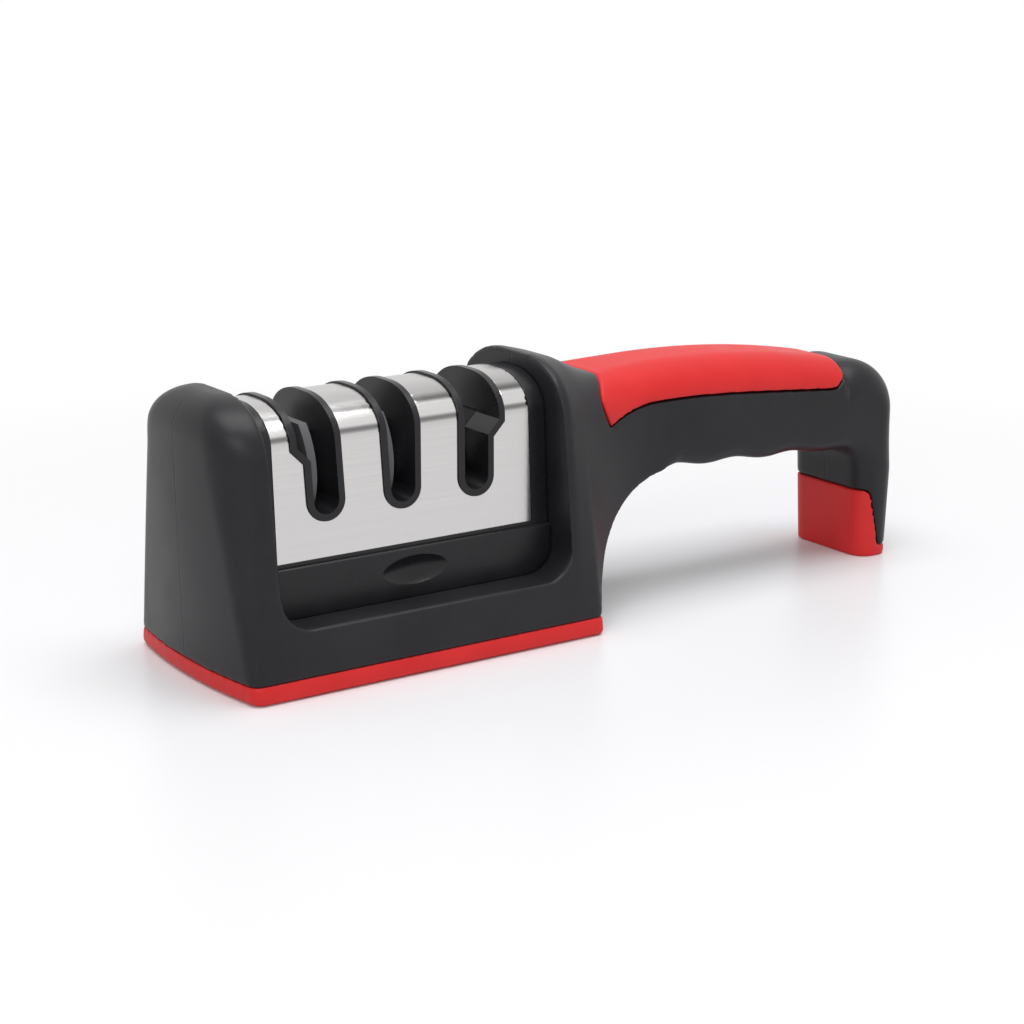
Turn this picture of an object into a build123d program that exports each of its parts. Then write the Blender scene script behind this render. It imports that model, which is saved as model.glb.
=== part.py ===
from build123d import *
import os
from math import cos, sin, pi, radians, sqrt, tan, atan

os.makedirs("parts", exist_ok=True)

# Pull through knife sharpener: a hollow two-part body with a handle, and a lift-out cartridge.
# Origin: middle of the base pad's underside. +X runs to the handle, -Y is the front, +Z is up.
# All lengths are in millimetres.

# Body block with its two posts
pad_height = 4.5
base_half_width = 29.3
shoulder_half_width = 22.8
shoulder_z = 53.0
post_top_z = 66.6
post_corner_across = 17.4
body_corner_x = -50.6
end_bow = 2.8
end_lean_share = -0.02
end_round = 10.5
end_foot_round = 2.6
post_end_across = 9.0
post_end_rise = 9.0
post_dome_steps = 6
post_dome_degrees = 84.0
body_end_x = 45.1
post_seam_x = -33.0
wall = 2.4
join_gap = 0.15
overrun = 5.0
ellipse_share = 0.5523

# Well between the posts and the pocket that the cartridge stands in
well_left_x = -42.0
well_lean_share = 0.015
well_right_x = 37.0
well_floor_z = 15.3
well_corner = 7.5
pocket_depth = 3.3
pocket_half_width = 17.9

# Handle bar, its crown line, finger grooves and leg
handle_half_width = 14.7
handle_corner_across = 9.5
handle_corner_down = 9.5
handle_lower_round = 4.2
flare_start_x = 39.0
flare_foot_start_x = 44.4
flare_end_x = 74.0
flare_top_end_x = 59.0
flare_steps = 12
crown_x = 79.9
crown_z = 61.1
crown_radius = 272.0
arch_radius = 34.6
groove_pitch = 19.3
groove_count = 3
ridge_drop = 1.0
groove_fall_share = 0.05
turn_z = 24.2
turn_inner_radius = 6.6
corner_radius = 12.0
leg_outer_x = 154.0
leg_outer_foot_x = 153.4
leg_inner_x = 141.5
leg_inner_foot_x = 142.4
leg_half_width = 14.9
leg_foot_half_width = 14.4
leg_round = 5.0
leg_hollow_x = 140.5
leg_hollow_z = 22.0
link_half_width = 8.0
link_low_z = 40.8
link_high_z = 49.0

# Outline of the grip as seen from the side
grip_tip_x = 55.4
grip_tip_z = 48.3
grip_left_x = 53.0
grip_left_z = 55.0
grip_top_left_x = 57.4
grip_lower_x = [63.2, 73.6, 95.3]
grip_lower_z = [51.1, 52.3, 51.6]
grip_end_x = 131.4
grip_end_z = 48.5
grip_right_x = 136.1
grip_right_z = 52.4
grip_top_right_x = 141.4

# Red soft parts
grip_thickness = 2.4
grip_seat_gap = 0.2
grip_groove = 0.4
toe_top_z = 18.7
toe_side_x = 145.4
toe_side_foot_x = 148.0
toe_sole = 2.6
toe_round = 2.2
pad_bottom_round = 1.5
pad_groove_depth = 0.8
pad_groove_width = 1.6
pad_groove_pitch = 5.2
pad_groove_count = 5
pad_groove_first_x = 18.0
pad_groove_half_length = 16.0

# Base plate and its screws
base_plate_thickness = 2.4
base_screw_x = 30.0
base_screw_y = 11.0
base_screw_radius = 1.4
base_screw_head_radius = 2.9
base_screw_head = 1.8
base_screw_recess = 1.2
base_screw_top_gap = 1.2
base_boss_radius = 3.6

# Screws that draw the two body halves together
tie_screw_radius = 1.2
tie_screw_head_radius = 2.2
tie_screw_head = 2.0
tie_boss_radius = 3.4
tie_screw_reach = 9.0
tie_post_x = -47.4
tie_post_low_z = 18.5
tie_post_high_z = 46.5
tie_post_seat_y = 15.0
tie_right_x = 43.9
tie_right_z = 40.5
tie_right_seat_y = 17.0
tie_bar_first_x = 75.2
tie_bar_second_x = 122.5
tie_bar_z = 44.4
tie_bar_seat_y = 9.6
fit_gap = 0.05
seat_gap = 0.15

# Cartridge
cartridge_gap = 0.4
skirt_half_width = 17.5
skirt_top_z = 27.0
skirt_round = 0.8
cover_half_width = 16.2
cover_shoulder_half_width = 14.7
cover_foot_z = 27.9
riser_half_width = 16.4
cover_shoulder_z = 54.7
cover_top_z = 63.2
cover_corner_across = 12.9
cover_thickness = 0.6
cover_gap = 0.2
cover_left_x = -37.6
cover_right_x = 32.0
cartridge_wall = 2.0
bottom_plate_thickness = 2.4
thumb_dent_depth = 1.6
thumb_dent_half_length = 9.0
thumb_dent_half_height = 3.5
thumb_dent_z = 21.6
thumb_dent_x = -1.8

# Knife slots
slot_middle_x = -4.0
slot_pitch = 20.4
slot_half_width = 4.9
slot_bottom_z = 36.3
slot_fan_degrees = 2.0
slot_taper_degrees = 2.0
slot_rim = 1.6
rim_proud = 0.5
rim_gap = 0.08
notch_width = 3.2
notch_z = 50.1
notch_rise = 3.4

# Abrasive holders, their towers and the abrasives
holder_half_length = 8.0
holder_half_width = 12.4
holder_height = 11.0
tower_half_length = 7.4
tower_half_width = 5.0
tower_top_z = 54.6
throat_half_width = 1.0
throat_z = 39.6
throat_open_z = 47.9
abrasive_cross_z = 43.1
abrasive_lean_degrees = 20.0
abrasive_length = 21.6
abrasive_offset_y = 1.75
rod_radius = 1.6
blade_width = 4.6
blade_thickness = 2.6
guide_thickness = 2.1
guide_top_z = 58.4
guide_middle_z = 47.2
guide_foot_z = 38.2
guide_half_depth = 14.2
guide_end_half_depth = 10.4
guide_foot_half_depth = 11.4

# Cartridge screws
cartridge_screw_left_x = -35.6
cartridge_screw_right_x = 31.7
cartridge_screw_y = 13.2
cartridge_screw_radius = 1.1
cartridge_screw_head_radius = 2.1
cartridge_screw_head = 1.3
cartridge_screw_recess = 0.2
cartridge_screw_length = 9.0
cartridge_boss_radius = 2.6
cartridge_boss_height = 11.0

# Worked out places
pocket_floor_z = well_floor_z - pocket_depth
arch_centre_x = body_end_x + arch_radius
turn_x = leg_inner_x - turn_inner_radius
deep = grip_thickness + wall
cartridge_left_x = well_left_x + cartridge_gap
cartridge_right_x = well_right_x - cartridge_gap
cartridge_foot_z = pocket_floor_z
bottom_plate_top_z = cartridge_foot_z + bottom_plate_thickness
base_plate_top_z = pad_height + base_plate_thickness
full_span = leg_outer_x - body_corner_x
slot_pivot_z = slot_bottom_z + slot_half_width
slot_inner_half = slot_half_width - slot_rim
core_inset = cover_thickness + cover_gap


# Small builders


def block(x0, x1, y0, y1, z0, z1):
    """A box between two corners."""
    size = Box(x1 - x0, y1 - y0, z1 - z0)
    return Pos((x0 + x1) / 2, (y0 + y1) / 2, (z0 + z1) / 2) * size


def across(x, z, radius, y0, y1):
    """A round bar along Y, at x and z, from y0 to y1."""
    bar = Cylinder(radius, y1 - y0, rotation=(90, 0, 0))
    return Pos(x, (y0 + y1) / 2, z) * bar


def upright(x, y, radius, z0, z1):
    """A round bar along Z, at x and y, from z0 to z1."""
    return Pos(x, y, (z0 + z1) / 2) * Cylinder(radius, z1 - z0)


def side_slab(face, half_depth):
    """A face drawn in X and Z, thickened both ways along Y."""
    return extrude(Plane.XZ * face, amount=half_depth, both=True)


def save(name, shape):
    """Write one node."""
    export_step(shape, "parts/" + name + ".step")


# Sections of the outer form


def arch_edges(low, low_half, side_half, shoulder, top, corner_across, low_round):
    """Section with rounded lower corners, leaning sides and elliptical upper corners."""
    k = ellipse_share
    rise = top - shoulder
    side_foot = (low_half, low + low_round)
    slope = (low_half - side_half) / (shoulder - low - low_round)
    top_half = side_half - corner_across
    right = [
        Bezier(
            (low_half - low_round, low),
            (low_half - low_round * (1 - k), low),
            (low_half, low + low_round * (1 - k)),
            side_foot,
        ),
        Line(side_foot, (side_half, shoulder)),
        Bezier(
            (side_half, shoulder),
            (side_half - slope * k * rise, shoulder + k * rise),
            (side_half - corner_across * (1 - k), top),
            (top_half, top),
        ),
    ]
    left = [edge.mirror(Plane.YZ) for edge in reversed(right)]
    bottom_line = Line((low_round - low_half, low), (low_half - low_round, low))
    return [bottom_line] + right + [Line((top_half, top), (-top_half, top))] + left


def arch_section(plane, inset, low, foot_half, side_half, shoulder, top, corner_across, low_round):
    """The same section, drawn in from its sides, top and bottom by an inset."""
    lean = (foot_half - side_half) / (shoulder - low)
    small_round = max(low_round - inset, wall / 4)
    start = low + inset + small_round
    start_half = side_half + lean * (shoulder - start) - inset
    corner = max(corner_across - inset, wall / 2)
    edges = arch_edges(
        low + inset, start_half, side_half - inset, shoulder, top - inset, corner, small_round
    )
    return plane * make_face(edges)


def station(x):
    """Plane across the object at x, drawn in Y and Z."""
    return Plane(origin=(x, 0, 0), x_dir=(0, 1, 0), z_dir=(1, 0, 0))


def post_outline(z, half, left, corner_round):
    """Plan of the body at one height: bowed left end, rounded corners and straight sides."""
    bow = end_bow * half / base_half_width
    bow_radius = (half ** 2 + bow ** 2) / (2 * bow)
    centre = Vector(left + bow_radius, 0)
    run = sqrt((bow_radius - corner_round) ** 2 - (half - corner_round) ** 2)
    corner = Vector(centre.X - run, corner_round - half)
    touch = centre + (corner - centre).normalized() * bow_radius
    foot = Vector(corner.X, -half)
    middle = corner + ((touch - corner) + (foot - corner)).normalized() * corner_round
    turn = [
        Line((post_seam_x, -half), foot),
        ThreePointArc(foot, middle, touch),
        ThreePointArc(touch, (left, 0), (touch.X, -touch.Y)),
        ThreePointArc((touch.X, -touch.Y), (middle.X, -middle.Y), (foot.X, half)),
        Line((foot.X, half), (post_seam_x, half)),
        Line((post_seam_x, half), (post_seam_x, -half)),
    ]
    return Pos(0, 0, z) * make_face(turn)


def post_half(z):
    """Half width of the body at a height under its shoulder."""
    return shoulder_half_width + (base_half_width - shoulder_half_width) * (1 - z / shoulder_z)


def post_left(z, inset):
    """Left end of the body at a height, rounded towards its top."""
    start = post_top_z - post_end_rise
    over = max(z - start, 0) / (post_end_rise - inset)
    draw = post_end_across * (1 - sqrt(1 - over ** 2))
    return body_corner_x - end_bow + end_lean_share * z + inset + draw


def left_post(inset):
    """Left post, stacked from plans that draw in towards a soft top."""
    sections = []
    foot_round = max(pad_bottom_round - inset, wall / 4)
    for step in range(3):
        angle = pi / 4 * step
        z = inset + foot_round * (1 - cos(angle))
        draw = foot_round * (1 - sin(angle))
        half = post_half(z) - inset - draw
        sections.append(post_outline(z, half, post_left(z, inset) + draw, end_foot_round))
    for z in [shoulder_z / 2, shoulder_z]:
        corner_round = end_foot_round + (end_round - end_foot_round) * z / shoulder_z
        sections.append(post_outline(z, post_half(z) - inset, post_left(z, inset), corner_round))
    rise = post_top_z - shoulder_z
    for step in range(1, post_dome_steps + 1):
        angle = radians(post_dome_degrees) * step / post_dome_steps
        z = shoulder_z + (rise - inset) * sin(angle)
        half = shoulder_half_width - inset - (post_corner_across - inset) * (1 - cos(angle))
        corner_round = end_round * half / shoulder_half_width
        sections.append(post_outline(z, half, post_left(z, inset), corner_round))
    return loft(sections, ruled=True)


def low_block(inset):
    """Body under the cartridge, between the two posts."""
    section = arch_section(
        station(post_seam_x), inset, 0, base_half_width, shoulder_half_width,
        shoulder_z, post_top_z, post_corner_across, pad_bottom_round,
    )
    bar = extrude(section, amount=well_right_x - post_seam_x)
    start = well_floor_z + well_corner
    return bar - block(post_seam_x, well_right_x, -full_span, full_span, start, full_span)


def crown(x):
    """Height of the handle's top line."""
    return crown_z - (x - crown_x) ** 2 / (2 * crown_radius)


def underside(x):
    """Height of the handle's lower line, with its finger grooves."""
    if x < arch_centre_x:
        return sqrt(arch_radius ** 2 - (arch_centre_x - x) ** 2)
    along = min(x - arch_centre_x, groove_pitch * (groove_count - 0.5))
    fall = groove_fall_share * (x - arch_centre_x)
    return arch_radius - fall - ridge_drop * (1 - cos(2 * pi * along / groove_pitch)) / 2


def ease(x):
    """Share that eases from one at the flare's start to nought where its top ends."""
    run = min(max(x - flare_start_x, 0) / (flare_top_end_x - flare_start_x), 1)
    return (1 + cos(pi * run)) / 2


def sweep(x, start):
    """Share that falls at once after a start and runs out softly at the flare's end."""
    return (1 - max(x - start, 0) / (flare_end_x - start)) ** 2


def between(first, second, share):
    """A value between two others."""
    return second + (first - second) * share


def flare(inset):
    """Blend from the right post's arch to the handle's section."""
    sections = []
    run = flare_end_x - flare_foot_start_x
    stations = [flare_foot_start_x + run * i / flare_steps for i in range(flare_steps + 1)]
    for x in [well_right_x, flare_start_x] + stations:
        share = ease(x)
        top = between(post_top_z, crown(x), share)
        drop = between(post_top_z - shoulder_z, handle_corner_down, share)
        sections.append(arch_section(
            station(x), inset, 0,
            between(base_half_width, handle_half_width, sweep(x, flare_foot_start_x)),
            between(shoulder_half_width, handle_half_width, sweep(x, flare_start_x)),
            top - drop, top,
            between(post_corner_across, handle_corner_across, share), pad_bottom_round,
        ))
    arch = across(arch_centre_x, 0, arch_radius + inset, -full_span, full_span)
    return loft(sections, ruled=True) - arch


def bar_sections(inset):
    """Sections of the handle bar, over the arch and along the finger grooves."""
    arch_steps = 4
    bar_steps = 18
    over_arch = arch_centre_x - flare_end_x
    first = [flare_end_x + over_arch * i / arch_steps for i in range(arch_steps)]
    run = turn_x - arch_centre_x
    second = [arch_centre_x + run * i / bar_steps for i in range(bar_steps + 1)]
    sections = []
    for x in first + second:
        grow = min((x - flare_end_x) / over_arch, 1)
        sections.append(arch_section(
            station(x), inset, underside(x), handle_half_width, handle_half_width,
            crown(x) - handle_corner_down, crown(x), handle_corner_across,
            between(handle_lower_round, pad_bottom_round, grow),
        ))
    return sections


def leg_sections(inset):
    """Sections of the handle's turn and of the leg under it."""
    sections = []
    turn_steps = 8
    corner_x = leg_outer_x - corner_radius
    corner_z = crown(corner_x) - corner_radius
    for i in range(1, turn_steps + 1):
        share = i / turn_steps
        angle = pi / 2 * (1 - share)
        dx = cos(angle)
        dz = sin(angle)
        ahead = (corner_x - turn_x) * dx + (corner_z - turn_z) * dz
        aside = (corner_x - turn_x) * dz - (corner_z - turn_z) * dx
        outer = (leg_outer_x - turn_x) / dx
        if turn_z + outer * dz > corner_z:
            outer = ahead + sqrt(corner_radius ** 2 - aside ** 2)
        plane = Plane(origin=(turn_x, 0, turn_z), x_dir=(0, 1, 0), z_dir=(dz, 0, -dx))
        half = between(leg_half_width, handle_half_width, share)
        down = between(leg_round, handle_corner_down, share)
        lower = between(leg_round, handle_lower_round, share)
        sections.append(arch_section(
            plane, inset, turn_inner_radius, half, half, outer - down, outer, down, lower,
        ))
    leg_steps = 3
    for i in range(1, leg_steps + 1):
        share = i / leg_steps
        inner = between(leg_inner_foot_x, leg_inner_x, share) - turn_x
        outer = between(leg_outer_foot_x, leg_outer_x, share) - turn_x
        half = between(leg_foot_half_width, leg_half_width, share)
        plane = Plane(origin=(turn_x, 0, turn_z * (1 - share)), x_dir=(0, 1, 0), z_dir=(0, 0, -1))
        sections.append(arch_section(
            plane, inset, inner, half, half, outer - leg_round, outer, leg_round, leg_round,
        ))
    return sections


def handle(inset):
    """Handle bar, its turn and the leg, lofted along their run."""
    return loft(bar_sections(inset) + leg_sections(inset), ruled=True)


def well_room(grow):
    """Room between the posts, through from front to back."""
    high = full_span
    floor = well_floor_z - grow
    left = well_left_x - grow
    right = well_right_x + grow
    outline = make_face(Polyline(
        (left, floor), (right, floor), (right, high),
        (left - well_lean_share * (high - floor), high), close=True,
    ))
    corners = outline.vertices().sort_by(Axis.Y)[:2]
    return side_slab(fillet(corners, well_corner + grow), full_span)


def pocket_room(grow):
    """Room for the cartridge's foot, sunk in the floor of the well."""
    half = pocket_half_width + grow
    return block(
        well_left_x - grow, well_right_x + grow, -half, half,
        pocket_floor_z - grow, well_floor_z + well_corner,
    )


def grip_outline(grow):
    """Outline of the grip seen from the side, open over the top of the handle."""
    left = grip_top_left_x - grow
    right = grip_top_right_x + grow
    tip = (grip_tip_x - grow / 2, grip_tip_z - grow)
    lower = [(x, z - grow) for x, z in zip(grip_lower_x, grip_lower_z)]
    end = (grip_end_x + grow / 2, grip_end_z - grow)
    return make_face([
        Line((right, full_span), (left, full_span)),
        Line((left, full_span), (left, crown_z)),
        Spline((left, crown_z), (grip_left_x - grow, grip_left_z), tip),
        Spline(tip, *lower, end),
        Spline(end, (grip_right_x + grow, grip_right_z), (right, crown_z)),
        Line((right, crown_z), (right, full_span)),
    ])


def toe_room(grow):
    """Room of the soft toe: inner side of the leg and the sole under it."""
    far = full_span
    outline = make_face(Polyline(
        (turn_x, toe_top_z + grow), (toe_side_x + grow, toe_top_z + grow),
        (toe_side_foot_x + grow, toe_sole + grow), (far, toe_sole + grow),
        (far, -overrun), (turn_x, -overrun), close=True,
    ))
    corners = outline.vertices().filter_by(lambda v: turn_x < v.X < leg_outer_x)
    return side_slab(fillet(corners, toe_round), full_span)


# Body, its cavity and the two shells
form = left_post(0) + low_block(0) + flare(0) + handle(0) - well_room(0) - pocket_room(0)

flare_hollow = flare(wall) & block(well_right_x, body_end_x, -full_span, full_span, 0, full_span)
leg_hollow = handle(wall) & block(
    leg_hollow_x, full_span, -full_span, full_span, leg_hollow_z, full_span
)
link = block(
    turn_x - overrun, leg_hollow_x + overrun, -link_half_width, link_half_width,
    link_low_z, link_high_z,
)
hollow = left_post(wall) + low_block(wall) + flare_hollow + flare(deep)
hollow = hollow + loft(bar_sections(deep), ruled=True) + link + leg_hollow
hollow = hollow - well_room(wall) - pocket_room(wall)

ties = [
    (tie_post_x, tie_post_low_z, tie_post_seat_y),
    (tie_post_x, tie_post_high_z, tie_post_seat_y),
    (tie_right_x, tie_right_z, tie_right_seat_y),
    (tie_bar_first_x, tie_bar_z, tie_bar_seat_y),
    (tie_bar_second_x, tie_bar_z, tie_bar_seat_y),
]
base_spots = [
    (base_screw_x * side, base_screw_y * face) for side in (-1, 1) for face in (-1, 1)
]
for x, z, seat in ties:
    hollow = hollow - across(x, z, tie_boss_radius, -full_span, full_span)
for x, y in base_spots:
    hollow = hollow - upright(x, y, base_boss_radius, base_plate_top_z, well_floor_z)

inner_form = flare(grip_thickness) + handle(grip_thickness)
grip_recess = side_slab(grip_outline(grip_groove), full_span) - inner_form
foot_room = block(-full_span, arch_centre_x, -full_span, full_span, -full_span, pad_height)

shells = form - hollow - grip_recess - foot_room - toe_room(join_gap)
for x, z, seat in ties:
    shells = shells - across(x, z, tie_screw_radius + fit_gap, -tie_screw_reach - fit_gap, seat)
    shells = shells - across(x, z, tie_screw_head_radius + seat_gap, seat, full_span)
base_screw_seat_z = base_screw_recess + base_screw_head
base_screw_tip_z = pocket_floor_z - base_screw_top_gap
for x, y in base_spots:
    bore = base_screw_radius + fit_gap
    shells = shells - upright(x, y, bore, 0, base_screw_tip_z + fit_gap)
front = block(-full_span, full_span, -full_span, 0, -full_span, full_span)
rear = block(-full_span, full_span, 0, full_span, -full_span, full_span)
save("front_shell", shells & front)
save("rear_shell", shells & rear)

# Pad and plate under the body
foot_form = (left_post(0) + low_block(0) + flare(0)) & block(
    -full_span, arch_centre_x, -full_span, full_span, 0, pad_height
)
plate_inset = wall + join_gap
plate_form = left_post(plate_inset) + low_block(plate_inset) + flare(plate_inset)
plate = plate_form & block(
    -full_span, arch_centre_x, -full_span, full_span, pad_height, base_plate_top_z
)
pad = foot_form
for x, y in base_spots:
    bore = upright(x, y, base_screw_radius + fit_gap, 0, full_span)
    plate = plate - bore
    pad = pad - bore
    pad = pad - upright(x, y, base_screw_head_radius + seat_gap, 0, base_screw_seat_z)
for side in (-1, 1):
    for i in range(pad_groove_count):
        x = side * (pad_groove_first_x + pad_groove_pitch * i)
        pad = pad - block(
            x - pad_groove_width / 2, x + pad_groove_width / 2,
            -pad_groove_half_length, pad_groove_half_length, 0, pad_groove_depth,
        )
save("base_plate", plate)
save("base_pad", pad)

# Soft grip on the handle and soft toe on the leg
grip_body = flare(0) + handle(0)
grip_seat = grip_thickness - grip_seat_gap
grip = grip_body & side_slab(grip_outline(0), full_span)
grip = grip - (flare(grip_seat) + handle(grip_seat))
save("handle_grip", grip)
save("toe_grip", handle(0) & toe_room(0))

# Screws of the body
tie_screws = []
for x, z, seat in ties:
    shank = across(x, z, tie_screw_radius, -tie_screw_reach, seat)
    tie_screws.append(shank + across(x, z, tie_screw_head_radius, seat, seat + tie_screw_head))
save("shell_screws", Compound(children=tie_screws))
base_screws = []
for x, y in base_spots:
    shank = upright(x, y, base_screw_radius, base_screw_seat_z, base_screw_tip_z)
    head = upright(x, y, base_screw_head_radius, base_screw_recess, base_screw_seat_z)
    base_screws.append(shank + head)
save("base_screws", Compound(children=base_screws))


# Cartridge: arch, slots and the pieces that stand in them


def arch_bar(x0, x1, inset):
    """Bar with the cartridge's arched section, from x0 to x1."""
    lean = (cover_half_width - cover_shoulder_half_width) / (cover_shoulder_z - cover_foot_z)
    foot_half = cover_shoulder_half_width + lean * (cover_shoulder_z - cartridge_foot_z)
    section = arch_section(
        station(x0), inset, cartridge_foot_z, foot_half, cover_shoulder_half_width,
        cover_shoulder_z, cover_top_z, cover_corner_across, wall / 4,
    )
    return extrude(section, amount=x1 - x0)


def slot_face(half, taper, notch_side):
    """Outline of a knife slot about its own middle line, open at the top."""
    high = full_span
    pivot = slot_pivot_z
    spread = tan(radians(taper)) * (high - pivot)
    edges = [ThreePointArc((-half, pivot), (0, pivot - half), (half, pivot))]
    turn = atan(notch_width / notch_rise) / 2
    start = notch_z + (slot_half_width - half) * tan(turn)
    for side in (1, -1):
        run = [(side * half, pivot), (side * (half + spread), high)]
        if side == notch_side:
            wide = half + notch_width
            step = [(side * half, start), (side * wide, start + notch_rise), (side * wide, high)]
            run = [run[0]] + step
        edges.append(Polyline(*run))
    left_top = edges[2] @ 1
    edges.append(Line(edges[1] @ 1, left_top))
    return make_face(edges)


def placed(index, piece):
    """A piece drawn about a slot's middle line, put at its slot and leaned with it."""
    x = slot_middle_x + slot_pitch * index
    lean = Pos(x, 0, slot_pivot_z) * Rot(0, slot_fan_degrees * index, 0)
    return lean * Pos(0, 0, -slot_pivot_z) * piece


slots = [
    ("coarse", -1, 0, -1),
    ("medium", 0, slot_taper_degrees, 0),
    ("fine", 1, 0, 1),
]

skirt = block(
    cartridge_left_x, cartridge_right_x, -skirt_half_width, skirt_half_width,
    cartridge_foot_z, skirt_top_z,
)
long_edges = skirt.edges().filter_by(Axis.X).sort_by(Axis.Z)[-2:]
skirt = fillet(long_edges, skirt_round)
riser = block(
    cartridge_left_x, cartridge_right_x, -riser_half_width, riser_half_width,
    cartridge_foot_z, cover_foot_z,
)
core = arch_bar(cartridge_left_x, cartridge_right_x, core_inset)
flanges = arch_bar(cartridge_left_x, cover_left_x - join_gap, 0)
flanges = flanges + arch_bar(cover_right_x + join_gap, cartridge_right_x, 0)
inside_left_x = cartridge_left_x + cartridge_wall
inside_right_x = cartridge_right_x - cartridge_wall
inside_half = skirt_half_width - cartridge_wall
inside = arch_bar(inside_left_x, inside_right_x, core_inset + cartridge_wall)
inside = inside + block(
    inside_left_x, inside_right_x, -inside_half, inside_half,
    cartridge_foot_z, skirt_top_z - cartridge_wall,
)
screw_spots = [
    (x, cartridge_screw_y * side)
    for x in (cartridge_screw_left_x, cartridge_screw_right_x) for side in (-1, 1)
]
boss_top_z = bottom_plate_top_z + cartridge_boss_height
for x, y in screw_spots:
    inside = inside - upright(x, y, cartridge_boss_radius, bottom_plate_top_z, boss_top_z)
housing = skirt + riser + core + flanges - inside

liner_arch = arch_bar(cartridge_left_x, cartridge_right_x, -rim_proud)
rim_cuts = []
channels = []
for name, index, taper, notch_side in slots:
    outer = placed(index, side_slab(slot_face(slot_half_width, taper, notch_side), full_span))
    channel = placed(index, side_slab(slot_face(slot_inner_half, taper, notch_side), full_span))
    grown = slot_face(slot_half_width + rim_gap, taper, notch_side)
    rim_cuts.append(placed(index, side_slab(grown, full_span)))
    window = placed(index, block(
        -tower_half_length - seat_gap, tower_half_length + seat_gap,
        -tower_half_width - seat_gap, tower_half_width + seat_gap,
        skirt_top_z, tower_top_z + seat_gap,
    ))
    housing = housing + (outer & liner_arch) - channel - window
    channels.append(channel)

dent_sag = thumb_dent_depth
dent_radius = (thumb_dent_half_height ** 2 + dent_sag ** 2) / (2 * dent_sag)
dent_offset = dent_radius - dent_sag
dent_arc_radius = (thumb_dent_half_length ** 2 + dent_sag ** 2) / (2 * dent_sag)
dent_reach = thumb_dent_half_length + fit_gap
dent_end = dent_radius - dent_arc_radius + sqrt(dent_arc_radius ** 2 - dent_reach ** 2)
dent_face = make_face([
    ThreePointArc((-dent_reach, dent_end), (0, dent_radius), (dent_reach, dent_end)),
    Line((dent_reach, dent_end), (dent_reach, 0)),
    Line((dent_reach, 0), (-dent_reach, 0)),
    Line((-dent_reach, 0), (-dent_reach, dent_end)),
])
dent = revolve(dent_face, Axis.X)
for side in (-1, 1):
    y = side * (skirt_half_width + dent_offset)
    housing = housing - Pos(thumb_dent_x, y, thumb_dent_z) * dent

cover = arch_bar(cover_left_x, cover_right_x, 0) - arch_bar(cover_left_x, cover_right_x, cover_thickness)
under_cover = block(-full_span, full_span, -full_span, full_span, 0, cover_foot_z)
cover = cover - under_cover
for cut in rim_cuts:
    cover = cover - cut
save("steel_cover", cover)

bottom = block(
    inside_left_x + join_gap, inside_right_x - join_gap, join_gap - inside_half,
    inside_half - join_gap, cartridge_foot_z, bottom_plate_top_z,
)
head_foot_z = cartridge_foot_z + cartridge_screw_recess
head_seat_z = head_foot_z + cartridge_screw_head
small_screws = []
for x, y in screw_spots:
    tip = bottom_plate_top_z + cartridge_screw_length
    bore = upright(x, y, cartridge_screw_radius + fit_gap, cartridge_foot_z, tip + fit_gap)
    housing = housing - bore
    bottom = bottom - bore
    bottom = bottom - upright(
        x, y, cartridge_screw_head_radius + seat_gap, cartridge_foot_z, head_seat_z
    )
    shank = upright(x, y, cartridge_screw_radius, head_seat_z, tip)
    head = upright(x, y, cartridge_screw_head_radius, head_foot_z, head_seat_z)
    small_screws.append(shank + head)
save("cartridge_housing", housing)
save("cartridge_base_cover", bottom)
save("cartridge_screws", Compound(children=small_screws))


# Holders with their crossed abrasives, and the bowed guides


def crossed(side, piece):
    """A piece drawn along Z about the crossing, leaned to one side and set off along Y."""
    spot = Pos(0, side * abrasive_offset_y, abrasive_cross_z)
    return spot * Rot(0, side * abrasive_lean_degrees, 0) * piece


def blade(grow):
    """Carbide plate, or the slot it stands in when grown."""
    return Box(blade_width + 2 * grow, blade_thickness + 2 * grow, abrasive_length + 2 * grow)


def rod(grow):
    """Ceramic rod, or the bore it stands in when grown."""
    return Cylinder(rod_radius + grow, abrasive_length + 2 * grow)


def guide_piece(taper):
    """Bowed guide that lies on the left wall of a slot, open over the tower."""
    top = guide_top_z
    arc = ThreePointArc(
        (guide_foot_half_depth, guide_foot_z), (guide_half_depth, guide_middle_z),
        (guide_end_half_depth, top),
    )
    other = arc.mirror(Plane.YZ)
    lens = make_face([
        arc, other, Line(arc @ 1, other @ 1), Line(arc @ 0, other @ 0),
    ])
    plate = extrude(station(-slot_inner_half) * lens, amount=guide_thickness)
    channel = Pos(-fit_gap, 0, 0) * side_slab(slot_face(slot_inner_half - fit_gap, 0, 0), full_span)
    reach = tower_half_width + seat_gap
    window = block(-full_span, full_span, -reach, reach, 0, tower_top_z + 2 * seat_gap)
    piece = (plate & channel) - window
    hinge = Pos(-slot_inner_half, 0, slot_pivot_z)
    back = Pos(slot_inner_half, 0, -slot_pivot_z)
    return hinge * Rot(0, -taper, 0) * back * piece


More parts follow.
